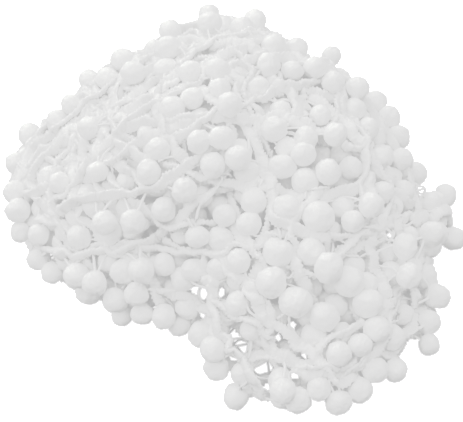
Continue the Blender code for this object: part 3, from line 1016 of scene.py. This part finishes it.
FLOOR_SQUASH = 0.6 * MM
FINE_DEPTH = 4.6 * MM
SHOWN_DEPTH = 12.0 * MM
RIB_HEIGHT = 0.3 * MM
SCALLOP = 0.3 * MM
FUZZ = 0.15 * MM
FUZZ_ACROSS = 1.3
ROUND_EDGE = 0.7
ROUND_FACE = 0.6
CHEVRON = 0.4
BRAID_SIDES = {1: 8, 3: 6, 6: 4}


def laid_on_floor(points):
    """Squashes what would pass through the floor onto it."""
    low = np.minimum(points[:, 2], FLOOR_SQUASH)
    squashed = FLOOR_SQUASH * np.exp(low / FLOOR_SQUASH - 1.0)
    points[:, 2] = np.where(points[:, 2] < FLOOR_SQUASH, squashed, points[:, 2])
    return points


def braid_part(tape, first, last, stride, chance):
    """A run of braid. Its ribs run out from its middle in a chevron."""
    index = np.append(np.arange(first, last, stride), last)
    sides = BRAID_SIDES[stride]
    angle = math.tau * (np.arange(sides) + 0.5) / sides
    over = np.sign(np.cos(angle)) * np.abs(np.cos(angle)) ** ROUND_EDGE
    up = np.sign(np.sin(angle)) * np.abs(np.sin(angle)) ** ROUND_FACE
    wave = np.where(stride == 1, (-1.0) ** index, 0.0)[:, None]
    fuzz = chance.normal(size=(3, len(index), sides)) * (FUZZ if stride < 6 else 0.0)
    half = 0.5 * tape.width[index][:, None] + SCALLOP * wave + fuzz[0] * FUZZ_ACROSS
    depth = 0.5 * BRAID_THICKNESS + RIB_HEIGHT * wave + fuzz[1]
    slide = -CHEVRON * np.abs(over)[None] * half + fuzz[2]
    points = (
        tape.line[index][:, None]
        + tape.across[index][:, None] * (over[None] * half)[..., None]
        + tape.out[index][:, None] * (up[None] * depth)[..., None]
        + tape.along[index][:, None] * slide[..., None]
    )
    return points.reshape(-1, 3), tube_faces(len(index), sides)


def round_part(line, radius, sides):
    """A thin round cord along a line."""
    along = unit(np.gradient(line, axis=0))
    helper = np.where(np.abs(along[:, 2:]) < 0.8, [[0.0, 0.0, 1.0]], [[1.0, 0.0, 0.0]])
    across = unit(np.cross(along, helper))
    out = np.cross(across, along)
    angle = math.tau * np.arange(sides) / sides
    ring = across[:, None] * np.cos(angle)[None, :, None] + out[:, None] * np.sin(angle)[None, :, None]
    return (line[:, None] + ring * radius).reshape(-1, 3), tube_faces(len(line), sides)


def icosphere(level):
    mesh = bmesh.new()
    bmesh.ops.create_icosphere(mesh, subdivisions=level, radius=1.0)
    points = np.array([v.co for v in mesh.verts])
    faces = np.array([[v.index for v in f.verts] for f in mesh.faces])
    mesh.free()
    return unit(points), faces


OVAL = 0.04
NAP = 0.012
DIMPLE = 0.13
DIMPLE_REACH = 0.32
LUMPS_EACH = 8
LUMP_COUNTS = (3.0, 8.0, 18.0)
LUMP_HEIGHTS = (0.014, 0.009, 0.008)


def pompom_part(base, centre, radius, tie, chance):
    """A pompom: a slightly oval, lumpy ball of cut yarn with a dimple where its threads are tied."""
    directions, faces = base
    turns = np.repeat(LUMP_COUNTS, LUMPS_EACH)[:, None]
    ripples = chance.normal(size=(len(turns), 3)) * turns
    phases = chance.uniform(0.0, math.tau, len(turns))
    lumps = np.cos(directions @ ripples.T + phases) @ np.repeat(LUMP_HEIGHTS, LUMPS_EACH)
    stretch = 1.0 + np.clip(chance.normal(size=3), -2.0, 2.0) * OVAL
    fuzz = chance.normal(size=len(directions)) * NAP
    from_tie = np.arccos(np.clip(directions @ tie, -1.0, 1.0))
    dimple = -DIMPLE * np.exp(-((from_tie / DIMPLE_REACH) ** 2))
    reach = radius * (1.0 + lumps + fuzz + dimple)
    return centre + directions * stretch * reach[:, None], faces


def runs_by_detail(depth):
    """(first, last, stride) runs of the tape, finer where it comes nearer to the heap's surface."""
    beside = np.ones(6 * FINE)
    near = np.convolve(depth > -FINE_DEPTH, beside, "same") > 0.0
    shown = np.convolve(depth > -SHOWN_DEPTH, beside, "same") > 0.0
    stride = np.where(near, 1, np.where(shown, 3, 6))
    edges = np.flatnonzero(np.diff(stride)) + 1
    bounds = [0, *edges, len(stride) - 1]
    return [(a, b, stride[a]) for a, b in zip(bounds, bounds[1:]) if b > a]


TIE_SHARE = 0.8
SLACK = 2.6 * MM
BOWS = (0.3, 1.1)
BOW_SPREAD = 0.4
ARM_SHARES = (0.45, 0.55)
ARM_SHIFT = 4
LOW_BALL = 9.0 * MM
FINE_BALL_DEPTH = 2.5 * MM
FAIR_BALL_DEPTH = 8.0 * MM


def loop_line(tape, chain, balls, ties, k, outward, chance):
    """One pompom's share of the loop thread: from halfway to the last pompom, through this one's
    tie and on to halfway to the next, with two arms that bow a little."""
    at = chain.ball_node[k] * FINE
    half = NODES_PER_BALL * FINE // 2
    spread = int(THREAD_SPREAD / NODE_STEP * FINE)
    marks = np.array([at - half, at - spread, at + spread, at + half])
    marks[1:3] += chance.integers(-ARM_SHIFT, ARM_SHIFT + 1, size=2)
    marks = np.clip(marks, 0, len(tape.line) - 1)
    edge = tape.line[marks] + tape.across[marks] * (0.5 * BRAID_WIDTH)
    tie = balls[k] + ties[k] * chain.radius[k] * TIE_SHARE
    bow = outward * SLACK * chance.uniform(*BOWS)
    arms = [ARM_SHARES[0] * mark + ARM_SHARES[1] * tie + bow for mark in edge[1:3]]
    return np.vstack([edge[:2], arms[0], tie, arms[1], edge[2:]])


def detail_of(depth, balls):
    """How finely each pompom is drawn: 4 in sight, 3 lower or further in, and 2 deep inside."""
    shown = (depth > -FINE_BALL_DEPTH) & (balls[:, 2] > LOW_BALL)
    return np.where(shown, 4, np.where(depth > -FAIR_BALL_DEPTH, 3, 2))


def thread_part(line, level):
    """A pompom's thread along its line, led round the gaps that it would cross."""
    if level > 2:
        line = curve_through(line, 2)
    if seen_near(line, GAPS, GAP_DETAIL).any():
        line = led_round_gaps(curve_through(line, 2), 1.5 * THREAD_RADIUS)
    return round_part(line, THREAD_RADIUS, 4 if level > 2 else 3)


def add_stretch(stretch, braid, fringe, finishes):
    """The two pieces of a stretch: a loose turn's own, or a run of the wound heap."""
    name = stretch.name
    if stretch.loose:
        add_piece("loose_braid_" + name, braid, finishes["braid"], HEADING + name)
        add_piece("loose_fringe_" + name, fringe, finishes["pompom"], FRINGE + name)
    else:
        add_piece(name + "_braid", braid, finishes["braid"], HEAP)
        add_piece(name + "_fringe", fringe, finishes["pompom"], HEAP)


def build(chain, nodes, balls, field, finishes, chance):
    tape = tape_of(chain, nodes, balls, field, chance)
    away = field_at(field, balls)
    away[seen_near(balls, GAPS, GAP_DETAIL), 0] = 0.0
    at = chain.ball_node * FINE
    edge = tape.line[at] + tape.across[at] * (0.5 * BRAID_WIDTH)
    ties = unit(edge - balls)
    outward = unit(away[:, 1:] + chance.normal(size=balls.shape) * BOW_SPREAD)
    level = detail_of(away[:, 0], balls)
    bases = {k: icosphere(k) for k in (2, 3, 4)}
    for stretch in chain.stretches:
        first, last = stretch.first * FINE, min((stretch.last + 1) * FINE, len(tape.line) - 1)
        braid, fringe = [], []
        for a, b, stride in runs_by_detail(tape.depth[first : last + 1]):
            braid.append(braid_part(tape, first + a, first + b, stride, chance))
        for k in np.flatnonzero((chain.ball_node >= stretch.first) & (chain.ball_node <= stretch.last)):
            fringe.append(pompom_part(bases[level[k]], balls[k], chain.radius[k], ties[k], chance))
            line = loop_line(tape, chain, balls, ties, k, outward[k], chance)
            fringe.append(thread_part(line, level[k]))
        add_stretch(stretch, braid, fringe, finishes)


make_camera()
make_floor()
make_light()
field = make_field(HEAP)
names = sorted(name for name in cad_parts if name.startswith(HEADING))
turns = [read_turn(name[len(HEADING) :], field) for name in names]
chance = np.random.default_rng(SEED)
chain = lay_chain(turns, field, chance)
nodes, balls = settle(chain, field, chance)
# Each yarn's two greys make painted shade: the lower grey goes into the pits between tufts, the higher onto
# their tops.
finishes = {
    "braid": yarn("ribbed_braid", (0.85, 0.85, 0.84), (0.94, 0.94, 0.93), 0.5 * MM, 0.5, 0.3),
    "pompom": yarn("brushed_pompom", (0.86, 0.86, 0.85), (0.95, 0.95, 0.94), 0.35 * MM, 0.6, 0.4),
}
build(chain, nodes, balls, field, finishes, chance)
